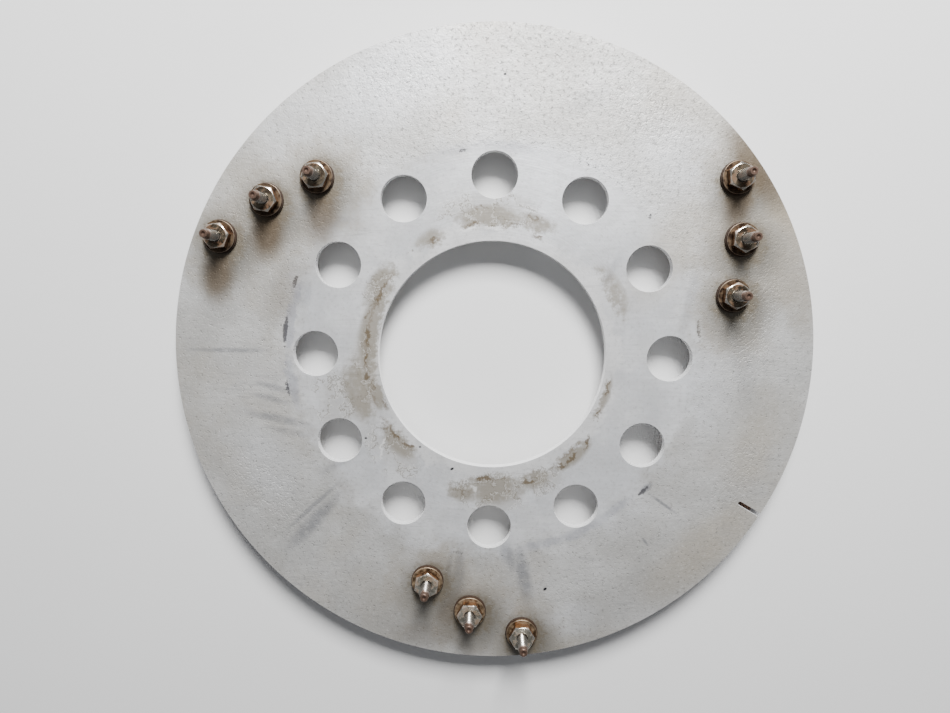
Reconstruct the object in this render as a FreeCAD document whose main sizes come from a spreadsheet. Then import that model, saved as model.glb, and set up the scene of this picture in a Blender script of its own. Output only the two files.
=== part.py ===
import FreeCAD, Part
import os
import Sketcher
from FreeCAD import Placement, Rotation, Vector

# Propeller de-ice slip ring, in millimetres and degrees.
# +Z runs along the propeller axis, towards the terminals. The origin is on that axis, in the plane of
# the running faces of the three copper rings, which is the lowest plane of the assembly.

DIMENSIONS = {
    "plate_diameter": 217.0,
    "plate_thickness": 3.2,
    "plate_edge_break": 0.4,
    "plate_overhang": 2.0,
    "bore_diameter": 77.6,
    "bolt_circle": 120.65,
    "bolt_hole_diameter": 15.5,
    "bolt_count": 12,
    "hole_edge_break": 0.35,
    "slot_width": 1.4,
    "slot_depth": 8.0,
    "slot_angle": -30.0,
    "insulator_thickness": 6.0,
    "insulator_edge_break": 0.8,
    "outer_margin": 3.525,
    "inner_margin": 3.025,
    "track_pitch": 8.3,
    "track_width": 6.35,
    "track_thickness": 3.0,
    "track_stand_out": 0.8,
    "track_edge_break": 0.3,
    "track_bond_gap": 0.1,
    "first_terminal_angle": 15.0,
    "terminal_angle_step": 11.0,
    "stud_diameter": 3.5,
    "stud_reach": 13.4,
    "stud_tip_diameter": 2.7,
    "stud_tip_length": 2.0,
    "stud_shoulder_slope": 0.35,
    "stud_seat_depth": 1.5,
    "braze_gap": 0.05,
    "shank_clearance": 0.15,
    "flange_diameter": 11.4,
    "flange_thickness": 1.0,
    "sleeve_diameter": 6.4,
    "sleeve_end_gap": 0.3,
    "sleeve_clearance": 0.1,
    "washer_diameter": 10.9,
    "washer_thickness": 0.9,
    "washer_clearance": 0.2,
    "nut_across_flats": 7.94,
    "nut_thickness": 2.8,
    "nut_chamfer_height": 0.45,
    "nut_chamfer_run": 0.9,
    "thread_gap": 0.05,
}

# The three blade stations lie a third of a turn apart. Each has one terminal on each ring.
STATIONS = (1, 2, 3)
RINGS = ("inner", "middle", "outer")

# How far round each nut came to rest when it was tightened, station by station.
NUT_TURNS = {"inner": (28.0, 6.0, 23.0), "middle": (29.0, -9.0, 0.0), "outer": (36.0, 8.0, 2.0)}

# Heights of the faces that the pieces share, as expressions of the driving dimensions.
GROOVE_FLOOR = "Dims.track_thickness"
PLATE_BACK = "(Dims.track_stand_out + Dims.insulator_thickness)"
PLATE_FRONT = f"({PLATE_BACK} + Dims.plate_thickness)"
WASHER_SEAT = f"({PLATE_FRONT} + Dims.flange_thickness)"
NUT_SEAT = f"({WASHER_SEAT} + Dims.washer_thickness)"
STUD_END = f"({PLATE_FRONT} + Dims.stud_reach)"

# The insulation ends a little inside the rim of the plate and reaches a margin past the outer copper ring.
INSULATOR_RIM = "(Dims.plate_diameter / 2 - Dims.plate_overhang)"
OUTER_TRACK = f"({INSULATOR_RIM} - Dims.outer_margin - Dims.track_width / 2)"

# Radii of the holes that a stud passes through.
SHANK_HOLE = "(Dims.stud_diameter / 2 + Dims.shank_clearance)"
SLEEVE_HOLE = "(Dims.sleeve_diameter / 2 + Dims.sleeve_clearance)"

doc = FreeCAD.newDocument("slip_ring")
sheet = doc.addObject("Spreadsheet::Sheet", "Dims")
for row, (alias, number) in enumerate(DIMENSIONS.items(), start=1):
    sheet.set(f"A{row}", alias.replace("_", " "))
    sheet.set(f"B{row}", str(number))
    sheet.setAlias(f"B{row}", alias)
doc.recompute()


def number_of(expression):
    """The present value of an expression of the driving dimensions."""
    return float(sheet.evalExpression(expression))


def track_radius(ring):
    """The radius on which a copper ring and its terminals are centred."""
    steps_inwards = len(RINGS) - 1 - RINGS.index(ring)
    return f"({OUTER_TRACK} - {steps_inwards} * Dims.track_pitch)"


def terminal_angle(ring, station=1):
    """The angle of one terminal, counted from +X."""
    station_turn = 360 / len(STATIONS) * STATIONS.index(station)
    return f"(Dims.first_terminal_angle + {RINGS.index(ring)} * Dims.terminal_angle_step + {station_turn})"


def new_body(label):
    body = doc.addObject("PartDesign::Body", label)
    body.Label = label
    return body


def origin_feature(body, role):
    return next(item for item in body.Origin.OriginFeatures if item.Role == role)


def outline(body, name, plane, corners, turn="0"):
    """A closed outline of straight sides on one of the body's own planes.

    Each corner is a pair of expressions. The turn swings the sketch round the body's Z axis.
    """
    sketch = body.newObject("Sketcher::SketchObject", name)
    sketch.AttachmentSupport = [(origin_feature(body, plane), "")]
    sketch.MapMode = "FlatFace"
    upright = Vector(0, 1, 0) if plane == "XZ_Plane" else Vector(0, 0, 1)
    sketch.AttachmentOffset = Placement(Vector(0, 0, 0), Rotation(upright, number_of(turn)))
    if turn != "0":
        sketch.setExpression("AttachmentOffset.Rotation.Angle", turn)
    points = [Vector(number_of(across), number_of(up), 0) for across, up in corners]
    count = len(points)
    for i in range(count):
        sketch.addGeometry(Part.LineSegment(points[i], points[(i + 1) % count]), False)
    for i in range(count):
        sketch.addConstraint(Sketcher.Constraint("Coincident", i, 2, (i + 1) % count, 1))
    for i, (across, up) in enumerate(corners):
        for axis, expression, place in (("X", across, points[i].x), ("Y", up, points[i].y)):
            tag = f"corner{i}_{axis.lower()}"
            index = sketch.addConstraint(Sketcher.Constraint(f"Distance{axis}", -1, 1, i, 1, place))
            sketch.renameConstraint(index, tag)
            sketch.setExpression(f"Constraints.{tag}", expression)
    return sketch


def upright_line(sketch, name, across):
    """A construction line parallel to Z, used as the axis of a round cut."""
    place = number_of(across)
    line = sketch.addGeometry(Part.LineSegment(Vector(place, 0, 0), Vector(place, 10, 0)), True)
    sketch.addConstraint(Sketcher.Constraint("Vertical", line))
    sketch.addConstraint(Sketcher.Constraint("PointOnObject", line, 1, -1))
    sketch.addConstraint(Sketcher.Constraint("DistanceY", line, 1, line, 2, 10.0))
    index = sketch.addConstraint(Sketcher.Constraint("DistanceX", -1, 1, line, 1, place))
    sketch.renameConstraint(index, name)
    sketch.setExpression(f"Constraints.{name}", across)


def turned(body, name, corners):
    """A body of revolution about Z, from its half section."""
    sketch = outline(body, f"{name}_section", "XZ_Plane", corners)
    feature = body.newObject("PartDesign::Revolution", name)
    feature.Profile = sketch
    feature.ReferenceAxis = (sketch, ["V_Axis"])
    feature.Angle = 360.0
    doc.recompute()
    return feature


def round_cut(body, name, axis_radius, steps, turn="0"):
    """A stepped round hole parallel to Z, at a radius and an angle, from its half section.

    Each step is a pair of expressions: how far out from the hole's own axis, and how high.
    """
    corners = [(f"{axis_radius} + {out}", up) for out, up in steps]
    low, high = steps[0][1], steps[-1][1]
    corners = [(axis_radius, low)] + corners + [(axis_radius, high)]
    sketch = outline(body, f"{name}_section", "XZ_Plane", corners, turn)
    upright_line(sketch, "axis_radius", axis_radius)
    before = body.Shape.Volume
    feature = body.newObject("PartDesign::Groove", name)
    feature.Profile = sketch
    feature.ReferenceAxis = (sketch, ["Axis0"])
    feature.Angle = 360.0
    doc.recompute()
    if feature.Shape.Volume >= before:
        raise RuntimeError(f"{name} removes nothing from {body.Label}")
    return feature


def ring_of(body, name, originals, count):
    """Repeats features evenly round the Z axis of the body."""
    pattern = body.newObject("PartDesign::PolarPattern", name)
    pattern.Originals = originals
    pattern.Axis = (origin_feature(body, "Z_Axis"), [""])
    pattern.Angle = 360.0
    pattern.Occurrences = int(number_of(count))
    if count.startswith("Dims"):
        pattern.setExpression("Occurrences", count)
    body.Tip = pattern
    doc.recompute()
    return pattern


def make_mounting_plate():
    """A flat disc with its front edges broken, the bore, the bolt holes, the terminal holes and the index slot."""
    body = new_body("mounting_plate")
    rim, bore, edge = "Dims.plate_diameter / 2", "Dims.bore_diameter / 2", "Dims.plate_edge_break"
    turned(body, "disc", [
        (bore, PLATE_BACK), (rim, PLATE_BACK),
        (rim, f"{PLATE_FRONT} - {edge}"), (f"{rim} - {edge}", PLATE_FRONT),
        (f"{bore} + {edge}", PLATE_FRONT), (bore, f"{PLATE_FRONT} - {edge}"),
    ])
    hole, edge = "Dims.bolt_hole_diameter / 2", "Dims.hole_edge_break"
    bolt_hole = round_cut(body, "bolt_hole", "Dims.bolt_circle / 2", [
        (hole, PLATE_BACK), (hole, f"{PLATE_FRONT} - {edge}"), (f"{hole} + {edge}", PLATE_FRONT)])
    ring_of(body, "bolt_holes", [bolt_hole], "Dims.bolt_count")
    terminal_holes = [
        round_cut(body, f"terminal_hole_{ring}", track_radius(ring),
                  [(SLEEVE_HOLE, PLATE_BACK), (SLEEVE_HOLE, PLATE_FRONT)], terminal_angle(ring))
        for ring in RINGS
    ]
    ring_of(body, "terminal_holes", terminal_holes, str(len(STATIONS)))
    cut_index_slot(body)
    return body


def cut_index_slot(body):
    """A narrow slot from the rim inwards, with a round inner end."""
    half = "Dims.slot_width / 2"
    inner = "(Dims.plate_diameter / 2 - Dims.slot_depth)"
    outer = "Dims.plate_diameter / 2 + Dims.slot_width"
    round_cut(body, "slot_end", inner, [(half, PLATE_BACK), (half, PLATE_FRONT)], "Dims.slot_angle")
    before = body.Shape.Volume
    run = body.newObject("PartDesign::Pocket", "slot_run")
    run.Profile = outline(
        body, "slot_run_outline", "XY_Plane",
        [(inner, f"-{half}"), (outer, f"-{half}"), (outer, half), (inner, half)], "Dims.slot_angle")
    run.Type = "ThroughAll"
    run.Reversed = True
    doc.recompute()
    if run.Shape.Volume >= before:
        raise RuntimeError("the index slot removes nothing")


def make_insulating_ring():
    """The moulded insulation: three grooves underneath, and a hole for each stud."""
    body = new_body("insulating_ring")
    floor, edge = "Dims.track_stand_out", "Dims.insulator_edge_break"
    half_groove = "(Dims.track_width / 2 + Dims.track_bond_gap)"
    inner = f"({track_radius('inner')} - Dims.track_width / 2 - Dims.inner_margin)"
    corners = [(inner, f"{floor} + {edge}"), (f"{inner} + {edge}", floor)]
    for ring in RINGS:
        near, far = f"{track_radius(ring)} - {half_groove}", f"{track_radius(ring)} + {half_groove}"
        corners += [(near, floor), (near, GROOVE_FLOOR), (far, GROOVE_FLOOR), (far, floor)]
    corners += [(f"{INSULATOR_RIM} - {edge}", floor), (INSULATOR_RIM, f"{floor} + {edge}")]
    corners += [(INSULATOR_RIM, PLATE_BACK), (inner, PLATE_BACK)]
    turned(body, "moulding", corners)
    stud_holes = [
        round_cut(body, f"stud_hole_{ring}", track_radius(ring),
                  [(SHANK_HOLE, GROOVE_FLOOR), (SHANK_HOLE, PLATE_BACK)], terminal_angle(ring))
        for ring in RINGS
    ]
    ring_of(body, "stud_holes", stud_holes, str(len(STATIONS)))
    return body


def make_slip_ring(ring):
    """A flat copper ring with broken running edges and three blind seats for the studs."""
    body = new_body(f"slip_ring_{ring}")
    edge, top = "Dims.track_edge_break", "Dims.track_thickness"
    near = f"{track_radius(ring)} - Dims.track_width / 2"
    far = f"{track_radius(ring)} + Dims.track_width / 2"
    turned(body, "band", [
        (near, edge), (f"{near} + {edge}", "0"), (f"{far} - {edge}", "0"), (far, edge), (far, top), (near, top),
    ])
    seat = "(Dims.stud_diameter / 2 + Dims.braze_gap)"
    stud_seat = round_cut(
        body, "stud_seat", track_radius(ring), [(seat, f"{top} - Dims.stud_seat_depth"), (seat, top)],
        terminal_angle(ring))
    ring_of(body, "stud_seats", [stud_seat], str(len(STATIONS)))
    return body


def stand_at_terminal(body, ring, station, turn="0"):
    """Places a turned piece on the axis of one terminal."""
    radius, angle = track_radius(ring), terminal_angle(ring, station)
    body.setExpression("Placement.Base.x", f"{radius} * cos({angle})")
    body.setExpression("Placement.Base.y", f"{radius} * sin({angle})")
    body.Placement.Rotation = Rotation(Vector(0, 0, 1), float(turn))


def make_stud(ring, station):
    """A terminal stud: its foot brazed into the copper ring, a long shank and a turned-down end."""
    body = new_body(f"terminal_stud_{ring}_{station}")
    foot = "Dims.track_thickness - Dims.stud_seat_depth"
    shank, tip = "Dims.stud_diameter / 2", "Dims.stud_tip_diameter / 2"
    shoulder = f"{STUD_END} - Dims.stud_tip_length"
    turned(body, "stud", [
        ("0", foot), (shank, foot), (shank, f"{shoulder} - Dims.stud_shoulder_slope"), (tip, shoulder),
        (tip, STUD_END), ("0", STUD_END),
    ])
    stand_at_terminal(body, ring, station)
    return body


def make_bushing(ring, station):
    """An insulating shoulder bushing: a flange on the plate and a sleeve down its hole."""
    body = new_body(f"terminal_bushing_{ring}_{station}")
    sleeve, flange = "Dims.sleeve_diameter / 2", "Dims.flange_diameter / 2"
    sleeve_end = f"{PLATE_BACK} + Dims.sleeve_end_gap"
    turned(body, "bushing", [
        (SHANK_HOLE, sleeve_end), (sleeve, sleeve_end), (sleeve, PLATE_FRONT), (flange, PLATE_FRONT),
        (flange, WASHER_SEAT), (SHANK_HOLE, WASHER_SEAT),
    ])
    stand_at_terminal(body, ring, station)
    return body


def make_washer(ring, station):
    """A flat washer."""
    body = new_body(f"washer_{ring}_{station}")
    hole, rim = "Dims.stud_diameter / 2 + Dims.washer_clearance", "Dims.washer_diameter / 2"
    turned(body, "washer", [(hole, WASHER_SEAT), (rim, WASHER_SEAT), (rim, NUT_SEAT), (hole, NUT_SEAT)])
    stand_at_terminal(body, ring, station)
    return body


def make_nut(ring, station):
    """A hexagon nut with its upper corners chamfered."""
    body = new_body(f"nut_{ring}_{station}")
    corner, nut_top = "Dims.nut_across_flats / sqrt(3)", f"({NUT_SEAT} + Dims.nut_thickness)"
    hexagon = [(f"{corner} * cos({60 * k})", f"{corner} * sin({60 * k})") for k in range(6)]
    sketch = outline(body, "hexagon", "XY_Plane", hexagon)
    sketch.setExpression("AttachmentOffset.Base.z", NUT_SEAT)
    blank = body.newObject("PartDesign::Pad", "blank")
    blank.Profile = sketch
    blank.setExpression("Length", "Dims.nut_thickness")
    doc.recompute()
    run, fall = "Dims.nut_chamfer_run", "Dims.nut_chamfer_height"
    turned_off(body, "corner_chamfer", [
        (f"{corner} - {run}", nut_top), (f"{corner} + {run}", f"{nut_top} - 2 * {fall}"),
        (f"{corner} + {run}", nut_top),
    ])
    hole = "Dims.stud_diameter / 2 + Dims.thread_gap"
    turned_off(body, "thread_hole", [("0", NUT_SEAT), (hole, NUT_SEAT), (hole, nut_top), ("0", nut_top)])
    turn = NUT_TURNS[ring][STATIONS.index(station)]
    stand_at_terminal(body, ring, station, turn)
    return body


def turned_off(body, name, corners):
    """Takes a turned shape off the body, about its own Z axis."""
    sketch = outline(body, f"{name}_section", "XZ_Plane", corners)
    before = body.Shape.Volume
    feature = body.newObject("PartDesign::Groove", name)
    feature.Profile = sketch
    feature.ReferenceAxis = (sketch, ["V_Axis"])
    feature.Angle = 360.0
    doc.recompute()
    if feature.Shape.Volume >= before:
        raise RuntimeError(f"{name} removes nothing from {body.Label}")


def gather(label, pieces):
    """Holds fasteners of one kind together as separate solids of one node."""
    group = doc.addObject("Part::Compound", label)
    group.Label = label
    group.Links = pieces
    return group


def write_parts(parts):
    """Tests every object and writes one file for each sub-part."""
    doc.recompute()
    for item in doc.Objects:
        if "Invalid" in item.State or "Error" in item.State:
            raise RuntimeError(f"{item.Label} failed: {item.State}")
    os.makedirs("parts", exist_ok=True)
    for part in parts:
        if part.Shape.isNull() or not part.Shape.isValid():
            raise RuntimeError(f"{part.Label} has no valid shape")
        part.Shape.exportStep(f"parts/{part.Label}.step")
        print(part.Label, len(part.Shape.Solids), "solids", round(part.Shape.Volume, 1), "mm3")


terminals = [(ring, station) for station in STATIONS for ring in RINGS]
sub_parts = [make_mounting_plate(), make_insulating_ring()]
sub_parts += [make_slip_ring(ring) for ring in RINGS]
sub_parts += [make_stud(ring, station) for ring, station in terminals]
sub_parts += [make_bushing(ring, station) for ring, station in terminals]
sub_parts.append(gather("terminal_washers", [make_washer(ring, station) for ring, station in terminals]))
sub_parts.append(gather("terminal_nuts", [make_nut(ring, station) for ring, station in terminals]))
write_parts(sub_parts)
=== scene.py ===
# %% [markdown]
# # A propeller de-ice slip ring
# The part is a thin aluminium disc that is bolted between a propeller and its crankshaft flange. Copper
# rings on its back pick up current from brushes, and nine terminals on its front pass it on to the blades.
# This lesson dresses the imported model: it rebuilds each piece with the edges, threads and stains that the
# plain solids lack, lays it on a pale floor and puts a camera over it.

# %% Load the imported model
import math

import bpy
from mathutils import Matrix, Vector


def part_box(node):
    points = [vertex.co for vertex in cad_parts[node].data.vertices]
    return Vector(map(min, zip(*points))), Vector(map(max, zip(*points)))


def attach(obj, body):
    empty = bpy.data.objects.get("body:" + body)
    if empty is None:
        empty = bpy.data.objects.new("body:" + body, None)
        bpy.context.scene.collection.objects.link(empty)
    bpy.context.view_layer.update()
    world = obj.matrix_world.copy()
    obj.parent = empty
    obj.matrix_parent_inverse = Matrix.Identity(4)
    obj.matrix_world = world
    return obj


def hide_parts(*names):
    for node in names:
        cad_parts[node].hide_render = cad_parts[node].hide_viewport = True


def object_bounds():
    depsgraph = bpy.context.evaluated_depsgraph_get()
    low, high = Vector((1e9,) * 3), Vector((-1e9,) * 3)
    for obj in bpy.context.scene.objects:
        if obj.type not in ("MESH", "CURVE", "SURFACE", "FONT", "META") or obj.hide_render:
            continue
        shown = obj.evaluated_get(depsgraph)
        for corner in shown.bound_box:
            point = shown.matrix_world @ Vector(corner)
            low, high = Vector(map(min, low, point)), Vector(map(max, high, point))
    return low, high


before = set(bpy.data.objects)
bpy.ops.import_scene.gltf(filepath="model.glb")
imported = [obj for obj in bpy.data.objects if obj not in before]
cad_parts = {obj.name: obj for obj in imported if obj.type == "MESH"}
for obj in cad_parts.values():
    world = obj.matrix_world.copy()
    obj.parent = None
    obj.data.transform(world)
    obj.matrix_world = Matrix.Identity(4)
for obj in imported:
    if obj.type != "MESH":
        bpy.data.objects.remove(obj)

MM = 0.001
cad_low, cad_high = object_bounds()
plate_low, plate_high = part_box("mounting_plate")
print("the part is", [round(side / MM, 2) for side in cad_high - cad_low], "mm")

# %% [markdown]
# ## Sizes of the plate and its terminals
# Everything is measured in millimetres from the axis of the bore, as on the maker's drawing. The heights
# are those of the faces that the pieces share, counted from the running faces of the copper rings. Each
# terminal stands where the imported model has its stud, so its place is read from the stud's own box.

# %% Sizes in millimetres
PLATE_RADIUS = min(plate_high.x, plate_high.y, -plate_low.x, -plate_low.y) / MM
PLATE_BACK = plate_low.z / MM
PLATE_FRONT = plate_high.z / MM
BORE_RADIUS = 38.8
BOLT_CIRCLE_RADIUS = 60.325
BOLT_HOLE_RADIUS = 7.75
BOLT_COUNT = 12
SLOT_ANGLE = -30
SLOT_DEPTH = 8
SLOT_WIDTH = 1.4
FLANGE_TOP = PLATE_FRONT + 1.0
WASHER_TOP = FLANGE_TOP + 0.9
NUT_TOP = WASHER_TOP + 2.8
RINGS = ("inner", "middle", "outer")
STATIONS = (1, 2, 3)


def terminal_place(ring, station):
    """The axis of one terminal, in millimetres."""
    low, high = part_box(f"terminal_stud_{ring}_{station}")
    return (low + high) / 2 / MM


TERMINALS = {(ring, station): terminal_place(ring, station) for station in STATIONS for ring in RINGS}
TRACK_RADII = {ring: TERMINALS[ring, 1].xy.length for ring in RINGS}
print("terminals", {key: (round(at.x, 1), round(at.y, 1)) for key, at in TERMINALS.items()})

# %% [markdown]
# ## The workshop
# A round piece could be a primitive cylinder, but most pieces here are turned, with steps and grooves. So
# the half section is drawn point by point and spun round the Z axis, just as a lathe would make it. A few
# small helpers do the drawing, spinning, cutting and rounding, and each of them works as by hand: select,
# run the operator, apply the modifier.


# %% Selecting one piece at a time
def pick(*pieces):
    """Leaves only these pieces selected, with the first one active."""
    bpy.ops.object.select_all(action="DESELECT")
    for piece in pieces:
        piece.select_set(True)
    if pieces:
        bpy.context.view_layer.objects.active = pieces[0]


def apply_modifier(piece, kind, **settings):
    """Adds a modifier, sets it and applies it."""
    pick(piece)
    modifier = piece.modifiers.new(kind.title(), kind)
    for name, value in settings.items():
        setattr(modifier, name, value)
    bpy.ops.object.modifier_apply(modifier=modifier.name)


# %% Drawing and turning
def drawn(name, corners, closed=True):
    """A line through corners, each given as how far out from the axis and how high, in millimetres."""
    pick()
    bpy.ops.mesh.primitive_plane_add(size=MM)
    piece = bpy.context.object
    piece.name = name
    bpy.ops.object.mode_set(mode="EDIT")
    bpy.ops.mesh.select_all(action="SELECT")
    bpy.ops.mesh.merge(type="CENTER")
    places = [Vector((out * MM, 0, up * MM)) for out, up in corners]
    bpy.ops.transform.translate(value=places[0])
    for before, after in zip(places, places[1:] + (places[:1] if closed else [])):
        bpy.ops.mesh.extrude_vertices_move(TRANSFORM_OT_translate={"value": after - before})
    bpy.ops.mesh.select_all(action="SELECT")
    bpy.ops.mesh.remove_doubles(threshold=1e-6)
    bpy.ops.object.mode_set(mode="OBJECT")
    return piece


def tidy_surface(piece):
    """Merges doubled points and turns every face outwards."""
    pick(piece)
    bpy.ops.object.mode_set(mode="EDIT")
    bpy.ops.mesh.select_all(action="SELECT")
    bpy.ops.mesh.remove_doubles(threshold=1e-6)
    bpy.ops.mesh.normals_make_consistent(inside=False)
    bpy.ops.object.mode_set(mode="OBJECT")


def turned(name, corners, steps, closed=True):
    """A piece made on the lathe from its half section."""
    piece = drawn(name, corners, closed)
    bpy.ops.object.mode_set(mode="EDIT")
    bpy.ops.mesh.select_all(action="SELECT")
    bpy.ops.mesh.spin(steps=steps, angle=math.tau, center=(0, 0, 0), axis=(0, 0, 1))
    bpy.ops.object.mode_set(mode="OBJECT")
    tidy_surface(piece)
    return piece


# %% Cutting, rounding and copying
def carve(piece, tool, operation="DIFFERENCE"):
    """Cuts one piece with another, and the cutter is used up."""
    apply_modifier(piece, "BOOLEAN", operation=operation, object=tool, solver="EXACT")
    bpy.data.objects.remove(tool)


def rounded(piece, width, segments=2):
    """Rounds every sharp edge by a width in millimetres, and keeps the flat faces looking flat."""
    apply_modifier(piece, "BEVEL", width=width * MM, segments=segments, limit_method="ANGLE",
                   angle_limit=math.radians(25), use_clamp_overlap=True)
    pick(piece)
    bpy.ops.object.shade_smooth_by_angle(angle=math.radians(40))
    apply_modifier(piece, "WEIGHTED_NORMAL", keep_sharp=True, weight=100)


def copied(piece, name, place=(0, 0), turn=0.0):
    """A copy with its own mesh, set upright on an axis and turned about it."""
    pick(piece)
    bpy.ops.object.duplicate(linked=False)
    copy = bpy.context.object
    copy.name = name
    copy.rotation_euler = (0, 0, math.radians(turn))
    copy.location = (place[0] * MM, place[1] * MM, 0)
    bpy.ops.object.transform_apply(location=True, rotation=True, scale=True)
    return copy


def joined(pieces, name):
    """Several pieces as one object."""
    pick(*pieces)
    bpy.ops.object.join()
    bpy.context.object.name = name
    return bpy.context.object


def fit(piece, finish, slot, *nodes):
    """Gives a piece its finish and puts it in the place of the plain solids it stands for."""
    piece.data.materials.clear()
    piece.data.materials.append(finish)
    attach(piece, "root")
    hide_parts(*nodes)
    print(piece.name, len(piece.data.polygons), "faces")


# %% [markdown]
# ## Tools for the finishes
# A finish is a chain of small nodes. Painting it on an image would be quicker, but an image doesn't scale
# and has to be stored, so every stain and scratch here is worked out from the place on the piece. All
# patterns read Object coordinates in millimetres, so they stay put when the camera moves.


# %% Small helpers for nodes
def put(tree, socket, value):
    """Links a socket, or sets its own value."""
    if isinstance(value, bpy.types.NodeSocket):
        tree.links.new(value, socket)
    else:
        socket.default_value = value


def node(tree, kind, inputs=None, **settings):
    """A new node, with its settings made and its inputs filled."""
    made = tree.nodes.new(f"ShaderNode{kind}")
    for name, value in settings.items():
        setattr(made, name, value)
    for name, value in (inputs or {}).items():
        put(tree, made.inputs[name], value)
    return made


def maths(tree, operation, *terms):
    """One sum on numbers."""
    return node(tree, "Math", dict(enumerate(terms)), operation=operation).outputs[0]


def vectors(tree, operation, *terms, out=0):
    """One sum on vectors."""
    return node(tree, "VectorMath", dict(enumerate(terms)), operation=operation).outputs[out]


def fade(tree, value, start, end, low=0.0, high=1.0):
    """Goes softly from low to high while the value goes from start to end."""
    made = node(tree, "MapRange", interpolation_type="SMOOTHSTEP", clamp=False)
    for index, number in enumerate((value, start, end, low, high)):
        put(tree, made.inputs[index], number)
    return made.outputs[0]


def blend(tree, share, first, second):
    """Mixes two colours: all the first at a share of 0, all the second at 1."""
    made = node(tree, "Mix", {0: share, 6: first, 7: second}, data_type="RGBA")
    return made.outputs[2]


def noise(tree, place, per_mm, detail=3.0, roughness=0.55, flat=False):
    """Cloudy noise from 0 to 1, with so many clouds in a millimetre."""
    values = {"Vector": place, "Scale": per_mm, "Detail": detail, "Roughness": roughness}
    return node(tree, "TexNoise", values, noise_dimensions="2D" if flat else "3D").outputs["Fac"]


def line_where(tree, field, width, middle=0.5):
    """A thin line where a noise passes through its middle."""
    off_line = maths(tree, "ABSOLUTE", maths(tree, "SUBTRACT", field, middle))
    return fade(tree, off_line, 0.0, width, 1.0, 0.0)


# %% [markdown]
# ## Effects that several finishes share
# Lathe lines run round the axis of the whole part: they are on the machined hub zone of the plate and on
# the copper, where the brushes run. Soft patches place a smear or a stain. Dirt is a broken cover of
# specks. Slopes tells a flat face, above or below, from a chamfer and a side, because grime settles on them
# differently. The nodes could be copied into each finish, but then every change would have to be made many
# times. So each effect is a group that is built once, and a finish that uses it fills in its own values.


# %% Making a group with named sockets
def new_group(name, inputs, outputs):
    """A shader group: returns its tree, its input sockets by name, and its output node."""
    tree = bpy.data.node_groups.new(name, "ShaderNodeTree")
    for label, kind in inputs.items():
        tree.interface.new_socket(label, in_out="INPUT", socket_type=f"NodeSocket{kind}")
    for label, kind in outputs.items():
        tree.interface.new_socket(label, in_out="OUTPUT", socket_type=f"NodeSocket{kind}")
    return tree, tree.nodes.new("NodeGroupInput").outputs, tree.nodes.new("NodeGroupOutput").inputs


def use_group(tree, group, **values):
    """A shader group put to use with its own values: returns its outputs by name."""
    made = tree.nodes.new("ShaderNodeGroup")
    made.node_tree = group
    for name, value in values.items():
        put(tree, made.inputs[name.replace("_", " ")], value)
    return made.outputs


# %% Round the axis: how far out, and at what angle
polar, given, result = new_group("Round the axis", {"Place": "Vector"},
                                 {"Radius": "Float", "Angle": "Float", "Unrolled": "Vector"})
parts = node(polar, "SeparateXYZ", {0: given["Place"]}).outputs
flat_place = node(polar, "CombineXYZ", {0: parts[0], 1: parts[1]}).outputs[0]
radius = vectors(polar, "LENGTH", flat_place, out="Value")
behind = [maths(polar, "MULTIPLY", part, -1.0) for part in parts[:2]]
angle = maths(polar, "MULTIPLY", maths(polar, "ARCTAN2", behind[1], behind[0]), math.degrees(1))
put(polar, result["Radius"], radius)
put(polar, result["Angle"], angle)
put(polar, result["Unrolled"], node(polar, "CombineXYZ", {0: angle, 1: radius}).outputs[0])
print("group", polar.name)

# %% Lathe lines
lathe_lines, given, result = new_group("Lathe lines", {"Place": "Vector", "Spacing": "Float"},
                                       {"Height": "Float"})
around = use_group(lathe_lines, polar, Place=given["Place"])
across = maths(lathe_lines, "DIVIDE", around["Radius"], given["Spacing"])
along = maths(lathe_lines, "MULTIPLY", around["Angle"], 0.05)
lines_place = node(lathe_lines, "CombineXYZ", {0: across, 1: along}).outputs[0]
put(lathe_lines, result["Height"], noise(lathe_lines, lines_place, 1.0, 4.0, 0.7, flat=True))
print("group", lathe_lines.name)

# %% Soft patches
# One Mapping node moves, turns and shrinks the frame until the patch is a disc of radius 1, and a spherical
# gradient falls from its middle to its edge.
soft_patch, given, result = new_group(
    "Soft patch",
    {"Place": "Vector", "Centre": "Vector", "Turn": "Vector", "Half sizes": "Vector", "Strength": "Float"},
    {"Mask": "Float"})
on_patch = node(soft_patch, "Mapping", {"Vector": given["Place"], "Location": given["Centre"],
                                        "Rotation": given["Turn"], "Scale": given["Half sizes"]},
                vector_type="TEXTURE").outputs[0]
nearness = node(soft_patch, "TexGradient", {"Vector": on_patch}, gradient_type="SPHERICAL").outputs["Fac"]
put(soft_patch, result["Mask"], fade(soft_patch, nearness, 0.0, 0.75, 0.0, given["Strength"]))
print("group", soft_patch.name)

# %% Dirt
dirt, given, result = new_group("Dirt", {"Place": "Vector", "Per mm": "Float", "Cover": "Float"},
                                {"Mask": "Float"})
clouds = noise(dirt, given["Place"], given["Per mm"], detail=7.0, roughness=0.65)
edge_of_dirt = maths(dirt, "SUBTRACT", 0.78, maths(dirt, "MULTIPLY", given["Cover"], 0.5))
upper_edge = maths(dirt, "ADD", edge_of_dirt, 0.1)
put(dirt, result["Mask"], fade(dirt, clouds, edge_of_dirt, upper_edge))
print("group", dirt.name)

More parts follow.
